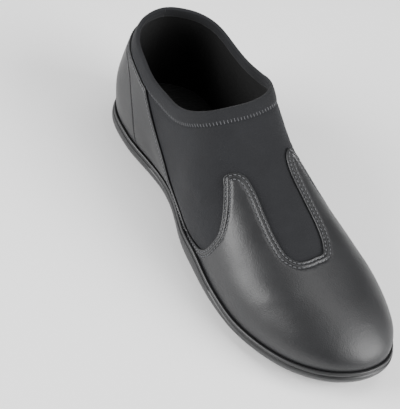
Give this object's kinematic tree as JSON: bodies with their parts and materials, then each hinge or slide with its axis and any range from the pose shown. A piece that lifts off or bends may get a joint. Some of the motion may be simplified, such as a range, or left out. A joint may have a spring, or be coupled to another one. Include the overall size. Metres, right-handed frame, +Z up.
{
  "type": "color guard shoe",
  "caption": "Black slip-on color guard shoe for the right foot: a stretch bootie under a leather vamp, quarter and counter, on a one-piece rubber outsole.",
  "frame": {"origin": "on the floor, under the middle of the shoe's length and width", "axes": "+X towards the toe, -Y towards the outer (lateral) side, +Z up"},
  "size_m": [0.2616, 0.091, 0.0889],
  "materials": {
    "sole_rubber": "satin black rubber",
    "upper_leather": "smooth black leather with a soft sheen",
    "stretch_fabric": "matt black knitted stretch fabric",
    "insole_fabric": "ribbed black lining"
  },
  "bodies": {
    "root": {"outsole": "sole_rubber", "bootie": "stretch_fabric", "insole": "insole_fabric", "vamp": "upper_leather", "quarter": "upper_leather", "counter": "upper_leather"}
  },
  "joints": []
}
